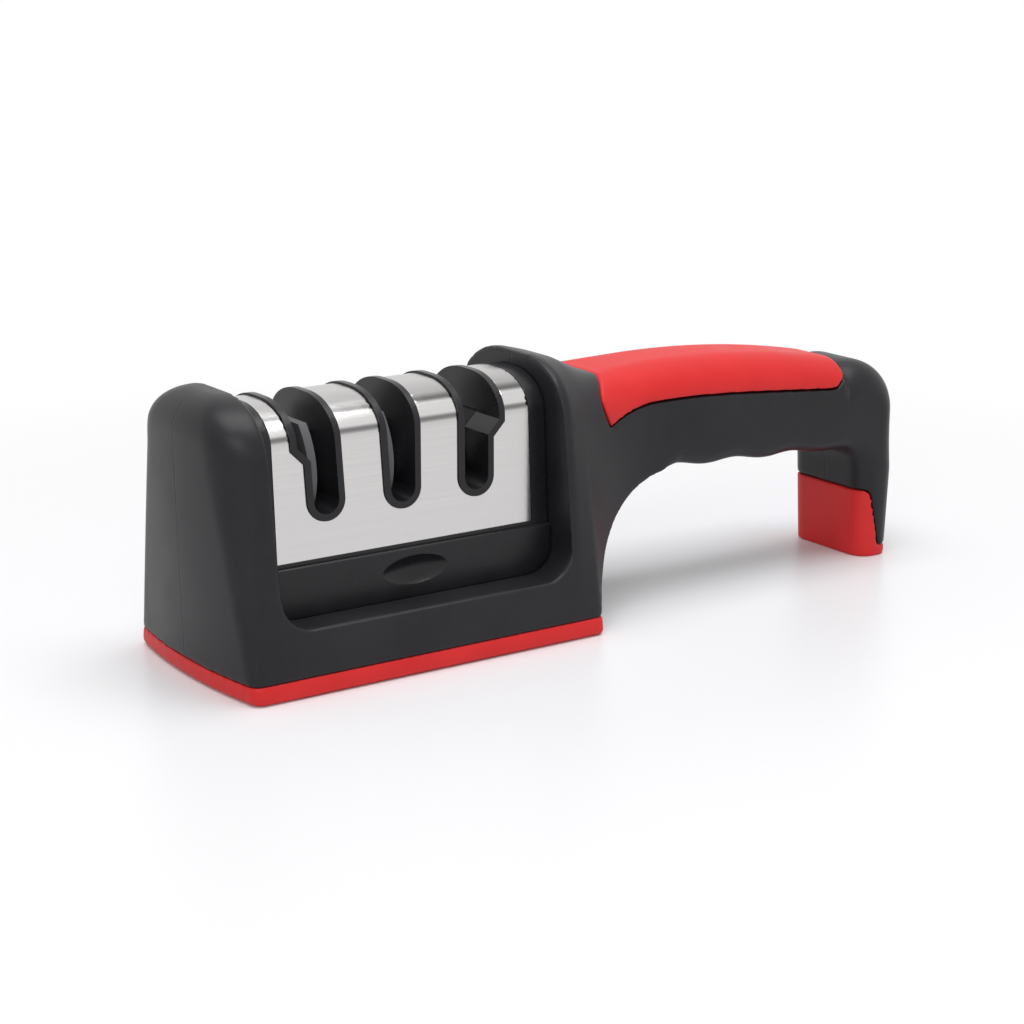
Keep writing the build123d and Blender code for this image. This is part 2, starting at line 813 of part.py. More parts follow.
throat = make_face(Polyline(
    (-throat_half_width, throat_z), (throat_half_width, throat_z),
    (slot_inner_half, throat_open_z), (-slot_inner_half, throat_open_z), close=True,
))
throat_cut = side_slab(throat, full_span)
for name, index, taper, notch_side in slots:
    tower = block(
        -tower_half_length, tower_half_length, -tower_half_width, tower_half_width,
        bottom_plate_top_z + holder_height / 2, tower_top_z,
    )
    open_top = side_slab(slot_face(slot_inner_half, taper, notch_side), full_span)
    open_top = open_top - block(
        -full_span, full_span, -full_span, full_span, 0, throat_open_z
    )
    tower = tower - throat_cut - open_top
    x = slot_middle_x + slot_pitch * index
    foot = block(
        x - holder_half_length, x + holder_half_length, -holder_half_width, holder_half_width,
        bottom_plate_top_z, bottom_plate_top_z + holder_height,
    )
    piece = blade if name == "coarse" else rod
    kind = "_blade_" if name == "coarse" else "_rod_"
    for side, word in ((-1, "left"), (1, "right")):
        way_in = Pos(0, 0, overrun) * piece(fit_gap)
        tower = tower - crossed(side, piece(fit_gap)) - crossed(side, way_in)
        save(name + kind + word, placed(index, crossed(side, piece(0))))
    save(name + "_holder", foot + placed(index, tower))
    if name != "fine":
        save(name + "_guide", placed(index, guide_piece(taper)))
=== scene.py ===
from math import atan, cos, pi, radians, sin, sqrt, tan

import bmesh
import bpy
from mathutils import Matrix, Vector


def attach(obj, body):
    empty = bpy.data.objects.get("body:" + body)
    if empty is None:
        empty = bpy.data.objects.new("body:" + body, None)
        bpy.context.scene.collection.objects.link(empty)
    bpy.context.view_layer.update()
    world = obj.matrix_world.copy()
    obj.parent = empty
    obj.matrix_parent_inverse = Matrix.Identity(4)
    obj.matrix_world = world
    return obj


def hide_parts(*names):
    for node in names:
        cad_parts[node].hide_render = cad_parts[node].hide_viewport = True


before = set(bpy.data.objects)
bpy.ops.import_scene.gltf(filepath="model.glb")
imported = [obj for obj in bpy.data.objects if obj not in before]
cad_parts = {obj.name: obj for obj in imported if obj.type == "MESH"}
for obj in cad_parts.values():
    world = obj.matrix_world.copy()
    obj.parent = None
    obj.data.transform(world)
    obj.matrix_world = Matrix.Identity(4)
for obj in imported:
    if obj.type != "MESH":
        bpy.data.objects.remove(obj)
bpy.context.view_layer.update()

mm = 0.001

# Sizes of the body, in millimetres, as the part's source has them
base_half_width = 29.3
shoulder_half_width = 22.8
shoulder_z = 53.0
post_top_z = 66.6
post_corner_across = 17.4
body_corner_x = -50.6
end_bow = 2.8
end_lean = -0.02
end_round = 10.5
end_foot_round = 2.6
post_end_across = 9.0
post_end_rise = 9.0
body_end_x = 45.1
post_seam_x = -33.0
pad_height = 4.5
pad_round = 1.5
well_left_x = -42.0
well_lean = 0.015
well_right_x = 37.0
well_floor_z = 15.3
well_corner = 7.5
pocket_depth = 3.3
pocket_half_width = 17.9

# Sizes of the handle
handle_half_width = 14.7
handle_corner = 9.5
handle_lower_round = 4.2
flare_start_x = 39.0
flare_foot_start_x = 44.4
flare_end_x = 74.0
flare_top_end_x = 59.0
crown_x = 79.9
crown_z = 61.1
crown_radius = 272.0
arch_radius = 34.6
groove_pitch = 19.3
groove_count = 3
ridge_drop = 1.0
groove_fall = 0.05
turn_z = 24.2
turn_inner_radius = 6.6
corner_radius = 12.0
leg_outer_x = 154.0
leg_outer_foot_x = 153.4
leg_inner_x = 141.5
leg_inner_foot_x = 142.4
leg_half_width = 14.9
leg_foot_half_width = 14.4
leg_round = 5.0

# Sizes of the grip and of the toe
grip_thickness = 2.4
grip_groove = 0.4
grip_top_left_x = 57.4
grip_left = (53.0, 55.0)
grip_tip = (55.4, 48.3)
grip_lower = [(63.2, 51.1), (73.6, 52.3), (95.3, 51.6)]
grip_end = (131.4, 48.5)
grip_right = (136.1, 52.4)
grip_top_right_x = 141.4
toe_top_z = 18.7
toe_side_x = 145.4
toe_side_foot_x = 148.0
toe_sole = 2.6
toe_round = 2.2
toe_gap = 0.15

arch_centre_x = body_end_x + arch_radius
turn_x = leg_inner_x - turn_inner_radius

# Heights and lengths that cutters reach, well past the body
far = 300.0
below_floor = -5.0
below_pad = -1.0
above_well = 120.0
under_grip = 40.0

# How far bodies run into each other before they are joined
overlap = 2.0
slight_overlap = 0.4

# Rounds never get smaller than this where a section is drawn inwards
least_low_round = 0.6
least_corner = 1.2

# Length of a cubic curve's handles that draws a quarter circle of radius one
arc_pull = 0.5523

# Turn over which the left post draws in towards its flat top
post_top_angle = radians(88)

# Number of steps along each stretch
round_steps = 5
corner_steps = 16
side_steps = 12
level_steps = 4
post_bow_steps = 16
post_corner_steps = 10
post_straight_steps = 8
post_top_steps = 22
flare_steps = 24
arch_steps = 60
bar_steps = 96
turn_steps = 32
leg_steps = 8
well_corner_steps = 12
grip_end_steps = 8
grip_lower_steps = 10
toe_steps = 7

# Fineness of the moulded skins, and how often each is smoothed
body_voxel = 0.5
grip_voxel = 0.5
body_soften_rounds = 12
red_soften_rounds = 6

# Pieces that keep the solid's shape: merging, what counts as flat or sharp, and edge rounds
merge_distance = 0.002
flat_angle = radians(0.4)
eased_angle = radians(35)
sharp_angle = radians(22)
housing_ease = 0.22
cover_ease = 0.06
guide_ease = 0.25
holder_ease = 0.15

# Height and grey level of the painted highlight and painted dark reflection bands on the steel, near
# its bends
painted_band_levels = [
    (54.0, 0.95), (55.3, 0.85), (56.0, 0.32), (56.5, 0.30), (57.2, 1.0), (59.6, 1.0),
    (60.2, 0.25), (60.6, 0.25), (61.4, 0.65), (63.2, 0.85),
]

# Floor, in millimetres, and the distances over which it turns to plain white
floor_half = 3000.0
floor_depth = 20.0
floor_middle_x = 50.0
white_start = 90.0
white_end = 300.0

# How much the brushing stretches reflections, and the turn from its lines to across them
brushing_strength = 0.9
quarter_turn = 0.25

# Grain of the ground materials
ground_scale = 4200.0
ground_strength = 0.6
ground_depth = 0.01

# Strength of the soft light from all round
soft_light = 0.45

# Camera as fitted to the photograph, with its focal length in pixels
camera_turn = radians(34.45)
camera_rise = radians(14.92)
camera_roll = radians(0.1)
camera_target = (37.46, 0, 25.65)
camera_distance = 571.9
focal_pixels = 2300
picture_pixels = 1024
sensor_width = 36
nearest_metres = 0.01


# Mesh helpers


def new_piece(name, bm):
    """An object of its own from a bmesh drawn in millimetres."""
    bmesh.ops.scale(bm, vec=(mm, mm, mm), verts=bm.verts)
    mesh = bpy.data.meshes.new(name)
    bm.to_mesh(mesh)
    bm.free()
    piece = bpy.data.objects.new(name, mesh)
    bpy.context.scene.collection.objects.link(piece)
    return piece


def ring(bm, points):
    """A closed loop of edges through the points."""
    made = bmesh.ops.create_circle(bm, segments=len(points), radius=1)
    for vert, point in zip(made["verts"], points):
        vert.co = point
    return list({edge for vert in made["verts"] for edge in vert.link_edges})


def lofted(name, rings):
    """A closed body bridged through rings of as many points each."""
    bm = bmesh.new()
    loops = [ring(bm, points) for points in rings]
    for first, second in zip(loops, loops[1:]):
        bmesh.ops.bridge_loops(bm, edges=first + second)
    for end in (loops[0], loops[-1]):
        bmesh.ops.contextual_create(bm, geom=end)
    bmesh.ops.recalc_face_normals(bm, faces=bm.faces)
    return new_piece(name, bm)


def prism(name, outline, half_depth=far):
    """A closed body with an outline in X and Z, thick along Y."""
    return lofted(name, [[(x, y, z) for x, z in outline] for y in (-half_depth, half_depth)])


def slab(name, x0, x1, z0, z1, half_depth=far):
    """A block between two heights and two places along X."""
    return prism(name, [(x0, z0), (x1, z0), (x1, z1), (x0, z1)], half_depth)


def applied(piece):
    """Bakes the piece's modifiers into its mesh."""
    graph = bpy.context.evaluated_depsgraph_get()
    graph.update()
    mesh = bpy.data.meshes.new_from_object(piece.evaluated_get(graph))
    piece.modifiers.clear()
    piece.data = mesh
    return piece


def dropped(*pieces):
    """Removes pieces that have done their work as cutters."""
    for piece in pieces:
        bpy.data.objects.remove(piece, do_unlink=True)


def cut(piece, cutter, operation="DIFFERENCE"):
    """Cuts a piece with another, or keeps what they share."""
    step = piece.modifiers.new("cut", "BOOLEAN")
    step.operation = operation
    step.solver = "EXACT"
    step.object = cutter
    return applied(piece)


def joined(name, pieces):
    """One mesh out of several."""
    bm = bmesh.new()
    for piece in pieces:
        bm.from_mesh(piece.data)
    mesh = bpy.data.meshes.new(name)
    bm.to_mesh(mesh)
    bm.free()
    whole = bpy.data.objects.new(name, mesh)
    bpy.context.scene.collection.objects.link(whole)
    dropped(*pieces)
    return whole


def moulded(piece, voxel, rounds):
    """Joins overlapping bodies into one skin and softens its edges as a mould does."""
    step = piece.modifiers.new("skin", "REMESH")
    step.mode = "VOXEL"
    step.voxel_size = voxel * mm
    soften = piece.modifiers.new("soften", "SMOOTH")
    soften.factor = 0.5
    soften.iterations = rounds
    applied(piece)
    piece.data.shade_smooth()
    return piece


# Sections of the body and the handle


def curve(start, first, second, end, steps):
    """Points along a cubic curve, without its last one."""
    points = []
    for i in range(steps):
        t = i / steps
        weights = ((1 - t) ** 3, 3 * t * (1 - t) ** 2, 3 * t ** 2 * (1 - t), t ** 3)
        spots = (start, first, second, end)
        points.append(tuple(sum(w * p[k] for w, p in zip(weights, spots)) for k in (0, 1)))
    return points


def straight(start, end, steps):
    """Points along a line, without its last one."""
    return [tuple(a + (b - a) * i / steps for a, b in zip(start, end)) for i in range(steps)]


def arch_points(inset, low, foot_half, side_half, shoulder, top, corner, low_round):
    """Half way round and back: rounded foot, leaning side and elliptical upper corner."""
    lean = (foot_half - side_half) / (shoulder - low)
    small = max(low_round - inset, least_low_round)
    low = low + inset
    start = low + small
    half = side_half + lean * (shoulder - start) - inset
    side = side_half - inset
    top = top - inset
    corner = max(corner - inset, least_corner)
    slope = (half - side) / (shoulder - start)
    rise = top - shoulder
    points = straight((0, low), (half - small, low), round_steps)
    points += curve(
        (half - small, low), (half - small * (1 - arc_pull), low),
        (half, low + small * (1 - arc_pull)), (half, start), round_steps,
    )
    points += straight((half, start), (side, shoulder), side_steps)
    points += curve(
        (side, shoulder), (side - slope * arc_pull * rise, shoulder + arc_pull * rise),
        (side - corner * (1 - arc_pull), top), (side - corner, top), corner_steps,
    )
    points += straight((side - corner, top), (0, top), level_steps)
    back = [(-y, z) for y, z in reversed(points[1:])]
    return points + [(0, top)] + back


def at_x(x, points):
    """Section points put across the object at x."""
    return [(x, y, z) for y, z in points]


def along(angle, points):
    """Section points turned about the handle's inner corner, from upright down to level."""
    return [(turn_x + z * cos(angle), y, turn_z + z * sin(angle)) for y, z in points]


def post_half(z):
    """Half width of the body at a height under its shoulder."""
    return shoulder_half_width + (base_half_width - shoulder_half_width) * (1 - z / shoulder_z)


def post_left(z):
    """Left end of the body at a height, rounded towards its top."""
    over = max(z - post_top_z + post_end_rise, 0) / post_end_rise
    draw = post_end_across * (1 - sqrt(max(1 - over ** 2, 0)))
    return body_corner_x - end_bow + end_lean * z + draw


def post_points(z, half, left, corner_round):
    """Plan of the left post at a height: bowed end, rounded corners, straight sides."""
    bow = end_bow * half / base_half_width
    radius = (half ** 2 + bow ** 2) / (2 * bow)
    centre_x = left + radius
    run = sqrt((radius - corner_round) ** 2 - (half - corner_round) ** 2)
    corner_x = centre_x - run
    corner_y = half - corner_round
    tip = pi / 2 + atan(run / corner_y)
    swing = pi - tip
    points = []
    for i in range(post_bow_steps):
        a = swing * (1 - i / post_bow_steps)
        points.append((centre_x - radius * cos(swing - a), radius * sin(swing - a)))
    for i in range(post_corner_steps):
        a = tip + (pi / 2 - tip) * i / post_corner_steps
        points.append((corner_x + corner_round * cos(a), corner_y + corner_round * sin(a)))
    points += straight((corner_x, half), (post_seam_x, half), post_straight_steps)
    points += straight((post_seam_x, half), (post_seam_x, 0), post_straight_steps)
    back = [(x, -y) for x, y in reversed(points[1:])]
    return [(x, y, z) for x, y in points + [(post_seam_x, 0)] + back]


def left_post():
    """Left post, stacked from plans that draw in towards a soft top."""
    rings = []
    for step in range(round_steps + 1):
        angle = pi / 2 * step / round_steps
        z = pad_round * (1 - cos(angle))
        draw = pad_round * (1 - sin(angle))
        rings.append(post_points(z, post_half(z) - draw, post_left(z) + draw, end_foot_round))
    for i in range(1, side_steps + 1):
        z = pad_round + (shoulder_z - pad_round) * i / side_steps
        corner_round = end_foot_round + (end_round - end_foot_round) * z / shoulder_z
        rings.append(post_points(z, post_half(z), post_left(z), corner_round))
    for step in range(1, post_top_steps + 1):
        angle = post_top_angle * step / post_top_steps
        z = shoulder_z + (post_top_z - shoulder_z) * sin(angle)
        half = shoulder_half_width - post_corner_across * (1 - cos(angle))
        rings.append(post_points(z, half, post_left(z), end_round * half / shoulder_half_width))
    return lofted("left_post", rings)


def low_bar():
    """Body between the posts, before the well is cut."""
    points = arch_points(
        0, 0, base_half_width, shoulder_half_width, shoulder_z, post_top_z,
        post_corner_across, pad_round,
    )
    return lofted("low_bar", [at_x(x, points) for x in (post_seam_x - overlap, well_right_x)])


def crown(x):
    """Height of the handle's top line."""
    return crown_z - (x - crown_x) ** 2 / (2 * crown_radius)


def underside(x):
    """Height of the handle's lower line, with its finger grooves."""
    if x < arch_centre_x:
        return sqrt(arch_radius ** 2 - (arch_centre_x - x) ** 2)
    run = min(x - arch_centre_x, groove_pitch * (groove_count - 0.5))
    fall = groove_fall * (x - arch_centre_x)
    return arch_radius - fall - ridge_drop * (1 - cos(2 * pi * run / groove_pitch)) / 2


def ease(x):
    """Share that eases from one at the flare's start to nought where its top ends."""
    run = min(max(x - flare_start_x, 0) / (flare_top_end_x - flare_start_x), 1)
    return (1 + cos(pi * run)) / 2


def sweep(x, start):
    """Share that falls at once after a start and runs out softly at the flare's end."""
    return (1 - max(x - start, 0) / (flare_end_x - start)) ** 2


def between(first, second, share):
    """A value between two others."""
    return second + (first - second) * share


def flare(inset):
    """Blend from the right post's arch to the handle's section."""
    rings = []
    run = flare_end_x - flare_foot_start_x
    stations = [flare_foot_start_x + run * i / flare_steps for i in range(flare_steps + 1)]
    for x in [well_right_x, flare_start_x] + stations + [flare_end_x + slight_overlap]:
        spot = min(x, flare_end_x)
        share = ease(spot)
        top = between(post_top_z, crown(spot), share)
        drop = between(post_top_z - shoulder_z, handle_corner, share)
        rings.append(at_x(x, arch_points(
            inset, 0,
            between(base_half_width, handle_half_width, sweep(spot, flare_foot_start_x)),
            between(shoulder_half_width, handle_half_width, sweep(spot, flare_start_x)),
            top - drop, top, between(post_corner_across, handle_corner, share), pad_round,
        )))
    piece = lofted("flare", rings)
    outline = [(far, -far), (body_end_x - inset, -far)]
    radius = arch_radius + inset
    for i in range(arch_steps + 1):
        angle = pi - pi * i / arch_steps
        outline.append((arch_centre_x + radius * cos(angle), radius * sin(angle)))
    arch = prism("arch", outline)
    cut(piece, arch)
    dropped(arch)
    return piece


def handle(inset):
    """Handle bar, its turn and the leg, bridged along their run."""
    rings = []
    run = turn_x - flare_end_x
    for i in range(bar_steps + 1):
        x = flare_end_x + run * i / bar_steps
        grow = min((x - flare_end_x) / (arch_centre_x - flare_end_x), 1)
        rings.append(at_x(x, arch_points(
            inset, underside(x), handle_half_width, handle_half_width,
            crown(x) - handle_corner, crown(x), handle_corner,
            between(handle_lower_round, pad_round, grow),
        )))
    corner_x = leg_outer_x - corner_radius
    corner_z = crown(corner_x) - corner_radius
    for i in range(1, turn_steps + 1):
        share = i / turn_steps
        angle = pi / 2 * (1 - share)
        ahead = (corner_x - turn_x) * cos(angle) + (corner_z - turn_z) * sin(angle)
        aside = (corner_x - turn_x) * sin(angle) - (corner_z - turn_z) * cos(angle)
        outer = (leg_outer_x - turn_x) / cos(angle)
        if turn_z + outer * sin(angle) > corner_z:
            outer = ahead + sqrt(max(corner_radius ** 2 - aside ** 2, 0))
        half = between(leg_half_width, handle_half_width, share)
        down = between(leg_round, handle_corner, share)
        lower = between(leg_round, handle_lower_round, share)
        rings.append(along(angle, arch_points(
            inset, turn_inner_radius, half, half, outer - down, outer, down, lower,
        )))
    for i in range(1, leg_steps + 1):
        share = i / leg_steps
        inner = between(leg_inner_foot_x, leg_inner_x, share) - turn_x
        outer = between(leg_outer_foot_x, leg_outer_x, share) - turn_x
        half = between(leg_foot_half_width, leg_half_width, share)
        points = arch_points(inset, inner, half, half, outer - leg_round, outer, leg_round, leg_round)
        rings.append([(turn_x + z, y, turn_z * (1 - share)) for y, z in points])
    return lofted("handle", rings)


def well_outline():
    """Side view of the room between the posts."""
    left = well_left_x
    high_left = left - well_lean * (above_well - well_floor_z)
    points = [(well_right_x, above_well), (high_left, above_well)]
    for centre_x, start in ((left + well_corner, pi), (well_right_x - well_corner, 1.5 * pi)):
        for i in range(well_corner_steps + 1):
            a = start + pi / 2 * i / well_corner_steps
            points.append((
                centre_x + well_corner * cos(a), well_floor_z + well_corner + well_corner * sin(a)
            ))
    return points


def smooth_line(points, steps):
    """Points along a smooth line through a few, without its last one."""
    ends = [points[0]] + list(points) + [points[-1]]
    line = []
    for before, start, end, after in zip(ends, ends[1:], ends[2:], ends[3:]):
        first = tuple(s + (e - b) / 6 for b, s, e in zip(before, start, end))
        second = tuple(e - (a - s) / 6 for s, e, a in zip(start, end, after))
        line += curve(start, first, second, end, steps)
    return line


def grip_outline(grow):
    """Side view of the grip, open over the top of the handle."""
    left = grip_top_left_x - grow
    right = grip_top_right_x + grow
    tip = (grip_tip[0] - grow / 2, grip_tip[1] - grow)
    lower = [(x, z - grow) for x, z in grip_lower]
    end = (grip_end[0] + grow / 2, grip_end[1] - grow)
    bulge_left = (grip_left[0] - grow, grip_left[1])
    bulge_right = (grip_right[0] + grow, grip_right[1])
    points = smooth_line([(left, crown_z), bulge_left, tip], grip_end_steps)
    points += smooth_line([tip] + lower + [end], grip_lower_steps)
    points += smooth_line([end, bulge_right, (right, crown_z)], grip_end_steps)
    return points + [(right, crown_z), (right, far), (left, far)]


def toe_outline(grow):
    """Side view of the soft toe: inner side of the leg and the sole under it."""
    top = toe_top_z + grow
    sole = toe_sole + grow
    side_x = toe_side_x + grow - toe_round
    points = [(turn_x, below_floor), (turn_x, top), (side_x, top)]
    for i in range(1, toe_steps + 1):
        a = pi / 2 * (1 - i / toe_steps)
        points.append((side_x + toe_round * cos(a), top - toe_round + toe_round * sin(a)))
    foot_x = toe_side_foot_x + grow
    for i in range(toe_steps + 1):
        a = pi + pi / 2 * i / toe_steps
        points.append((
            foot_x + toe_round + toe_round * cos(a), sole + toe_round + toe_round * sin(a)
        ))
    return points + [(far, sole), (far, below_floor)]


# Black body


def body_skin():
    """The whole black body in one skin, with well, pocket, grip seat and toe seat."""
    well = prism("well", well_outline())
    pocket = slab(
        "pocket", well_left_x, well_right_x, well_floor_z - pocket_depth,
        well_floor_z + well_corner, pocket_half_width,
    )
    foot = slab("foot", -far, arch_centre_x, -far, pad_height)
    grip_seat = prism("grip_seat", grip_outline(grip_groove))
    toe_seat = prism("toe_seat", toe_outline(toe_gap))
    post = left_post()
    bar = low_bar()
    neck = flare(0)
    hand = handle(0)
    for piece in (post, bar):
        for cutter in (well, pocket, foot):
            cut(piece, cutter)
    cut(neck, foot)
    cut(neck, grip_seat)
    cut(hand, grip_seat)
    cut(hand, toe_seat)
    over = slab("over", flare_start_x, grip_top_right_x + grip_groove, under_grip, far)
    core = [flare(grip_thickness), handle(grip_thickness)]
    for piece in core:
        cut(piece, over, "INTERSECT")
    dropped(well, pocket, foot, grip_seat, toe_seat, over)
    whole = joined("body_skin", [post, bar, neck, hand] + core)
    return moulded(whole, body_voxel, body_soften_rounds)


def half_of(skin, name, side):
    """The front or the rear half of a skin, closed at the middle."""
    bm = bmesh.new()
    bm.from_mesh(skin.data)
    bmesh.ops.bisect_plane(
        bm, geom=bm.verts[:] + bm.edges[:] + bm.faces[:], dist=1e-7,
        plane_co=(0, 0, 0), plane_no=(0, -side, 0), clear_outer=True,
    )
    rim = [edge for edge in bm.edges if edge.is_boundary]
    bmesh.ops.triangle_fill(bm, use_beauty=True, edges=rim)
    mesh = bpy.data.meshes.new(name)
    bm.to_mesh(mesh)
    bm.free()
    mesh.shade_smooth()
    piece = bpy.data.objects.new(name, mesh)
    bpy.context.scene.collection.objects.link(piece)
    return piece


def black_body():
    """Both halves of the black body."""
    skin = body_skin()
    for name, node, side in (("body_front", "front_shell", -1), ("body_rear", "rear_shell", 1)):
        piece = half_of(skin, name, side)
        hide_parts(node)
        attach(piece, "body")
        piece.data.materials.append(black_plastic)
    dropped(skin)


# Red soft parts


def red_piece(name, node, pieces, cutter):
    """A soft red piece: what the cutter keeps of the body's form."""
    for piece in pieces:
        cut(piece, cutter, "INTERSECT")
    dropped(cutter)
    red = moulded(joined(name, pieces), grip_voxel, red_soften_rounds)
    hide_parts(node)
    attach(red, "body")
    red.data.materials.append(red_rubber)


def red_parts():
    """Grip over the handle, toe on the leg and pad under the body."""
    red_piece("grip", "handle_grip", [flare(0), handle(0)], prism("over", grip_outline(0)))
    red_piece("toe", "toe_grip", [handle(0)], prism("under", toe_outline(0)))
    red_piece(
        "pad", "base_pad", [left_post(), low_bar(), flare(0)],
        slab("foot", -far, arch_centre_x, below_pad, pad_height),
    )


# Pieces that keep the solid's own shape, with their edges eased


def eased(name, node, body, width, finish):
    """A merged copy of a node with small rounds on its edges."""
    bm = bmesh.new()
    bm.from_mesh(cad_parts[node].data)
    bmesh.ops.remove_doubles(bm, verts=bm.verts, dist=merge_distance * mm)
    bmesh.ops.dissolve_limit(
        bm, angle_limit=flat_angle, verts=bm.verts, edges=bm.edges, delimit={"NORMAL"}
    )
    mesh = bpy.data.meshes.new(name)
    bm.to_mesh(mesh)
    bm.free()
    piece = bpy.data.objects.new(name, mesh)
    bpy.context.scene.collection.objects.link(piece)
    round_off = piece.modifiers.new("ease", "BEVEL")
    round_off.width = width * mm
    round_off.segments = 2
    round_off.limit_method = "ANGLE"
    round_off.angle_limit = eased_angle
    round_off.harden_normals = False
    applied(piece)
    piece.data.shade_smooth()
    piece.data.set_sharp_from_angle(angle=sharp_angle)
    level = piece.modifiers.new("level", "WEIGHTED_NORMAL")
    level.keep_sharp = True
    applied(piece)
    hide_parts(node)
    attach(piece, body)
    piece.data.materials.clear()
    piece.data.materials.append(finish)


# Shared effects for the materials


def effect_group(name, inputs, outputs):
    """A shader group with its inputs and outputs, still without nodes between them."""
    group = bpy.data.node_groups.new(name, "ShaderNodeTree")
    for label, kind, value in inputs:
        socket = group.interface.new_socket(label, in_out="INPUT", socket_type=kind)
        if value is not None:
            socket.default_value = value
    for label, kind in outputs:
        group.interface.new_socket(label, in_out="OUTPUT", socket_type=kind)
    first = group.nodes.new("NodeGroupInput")
    last = group.nodes.new("NodeGroupOutput")
    return group, first, last


def moulded_grain():
    """Fine spark-eroded grain, wide patches of sheen and small rub marks."""
    group, first, last = effect_group(
        "Moulded grain",
        [("Vector", "NodeSocketVector", None), ("Grain Scale", "NodeSocketFloat", 2600.0),
         ("Patch Scale", "NodeSocketFloat", 60.0)],
        [("Grain", "NodeSocketFloat"), ("Patches", "NodeSocketFloat"), ("Rubs", "NodeSocketFloat")],
    )
    link = group.links.new
    grain = group.nodes.new("ShaderNodeTexNoise")
    grain.inputs["Detail"].default_value = 3.0
    grain.inputs["Roughness"].default_value = 0.6
    patches = group.nodes.new("ShaderNodeTexNoise")
    patches.inputs["Detail"].default_value = 4.0
    rubs = group.nodes.new("ShaderNodeTexNoise")
    rubs.inputs["Scale"].default_value = 350.0
    rubs.inputs["Detail"].default_value = 5.0
    narrow = group.nodes.new("ShaderNodeMapRange")
    narrow.inputs["From Min"].default_value = 0.58
    narrow.inputs["From Max"].default_value = 0.72
    for node in (grain, patches, rubs):
        link(first.outputs["Vector"], node.inputs["Vector"])
    link(first.outputs["Grain Scale"], grain.inputs["Scale"])
    link(first.outputs["Patch Scale"], patches.inputs["Scale"])
    link(rubs.outputs["Fac"], narrow.inputs["Value"])
    link(grain.outputs["Fac"], last.inputs["Grain"])
    link(patches.outputs["Fac"], last.inputs["Patches"])
    link(narrow.outputs["Result"], last.inputs["Rubs"])
    return group


def brushed_lines():
    """Fine lines left by brushing along X."""
    group, first, last = effect_group(
        "Brushed lines", [("Vector", "NodeSocketVector", None)], [("Lines", "NodeSocketFloat")]
    )
    link = group.links.new
    stretch = group.nodes.new("ShaderNodeMapping")
    stretch.inputs["Scale"].default_value = (20.0, 2200.0, 2200.0)
    lines = group.nodes.new("ShaderNodeTexNoise")
    lines.inputs["Scale"].default_value = 1.0
    lines.inputs["Detail"].default_value = 4.0
    lines.inputs["Roughness"].default_value = 0.65
    link(first.outputs["Vector"], stretch.inputs["Vector"])
    link(stretch.outputs["Vector"], lines.inputs["Vector"])
    link(lines.outputs["Fac"], last.inputs["Lines"])
    return group


def plain_material(name, colour, roughness):
    """A material with its shader and object coordinates ready."""
    material = bpy.data.materials.new(name)
    material.use_nodes = True
    shader = material.node_tree.nodes["Principled BSDF"]
    shader.inputs["Base Color"].default_value = (*colour, 1)
    shader.inputs["Roughness"].default_value = roughness
    place = material.node_tree.nodes.new("ShaderNodeTexCoord")
    return material, shader, place.outputs["Object"]


def effect_node(tree, group, place):
    """A shared effect put into a material and laid out by the place on the object."""
    node = tree.nodes.new("ShaderNodeGroup")
    node.node_tree = group
    tree.links.new(place, node.inputs["Vector"])
    return node


def ramped(tree, value, low, high, from_low=0.3, from_high=0.7):
    """A value stretched to lie between low and high; by default noise's middle range is used."""
    node = tree.nodes.new("ShaderNodeMapRange")
    node.inputs["From Min"].default_value = from_low
    node.inputs["From Max"].default_value = from_high
    node.inputs["To Min"].default_value = low
    node.inputs["To Max"].default_value = high
    tree.links.new(value, node.inputs["Value"])
    return node.outputs["Result"]


def mixed(tree, share, first, second, blend="MIX"):
    """A colour made from two others, by a share that is a number or a socket."""
    node = tree.nodes.new("ShaderNodeMix")
    node.data_type = "RGBA"
    node.blend_type = blend
    colours = [socket for socket in node.inputs if socket.type == "RGBA"]
    for socket, colour in zip(colours, (first, second)):
        if isinstance(colour, tuple):
            socket.default_value = (*colour, 1)
        else:
            tree.links.new(colour, socket)
    if isinstance(share, float):
        node.inputs[0].default_value = share
    else:
        tree.links.new(share, node.inputs[0])
    return [socket for socket in node.outputs if socket.type == "RGBA"][0]


def bumped(tree, height, shader, strength, distance):
    """Raises the surface by a height."""
    bump = tree.nodes.new("ShaderNodeBump")
    bump.inputs["Strength"].default_value = strength
    bump.inputs["Distance"].default_value = distance
    tree.links.new(height, bump.inputs["Height"])
    tree.links.new(bump.outputs["Normal"], shader.inputs["Normal"])


def moulded_material(name, dark, light, smooth, rough, grain_scale, grain_depth, specular):
    """Moulded plastic or rubber with a fine grain, whose depth is in millimetres."""
    material, shader, place = plain_material(name, dark, rough)
    tree = material.node_tree
    grain = effect_node(tree, grain_effect, place)
    grain.inputs["Grain Scale"].default_value = grain_scale
    shade = mixed(tree, ramped(tree, grain.outputs["Patches"], 0, 1), dark, light)
    worn = mixed(tree, ramped(tree, grain.outputs["Rubs"], 0, 0.35, 0, 1), shade, light)
    tree.links.new(worn, shader.inputs["Base Color"])
    sheen = ramped(tree, grain.outputs["Patches"], smooth, rough)
    tree.links.new(sheen, shader.inputs["Roughness"])
    bumped(tree, grain.outputs["Grain"], shader, 1.0, grain_depth * mm)
    shader.inputs["Specular IOR Level"].default_value = specular
    return material


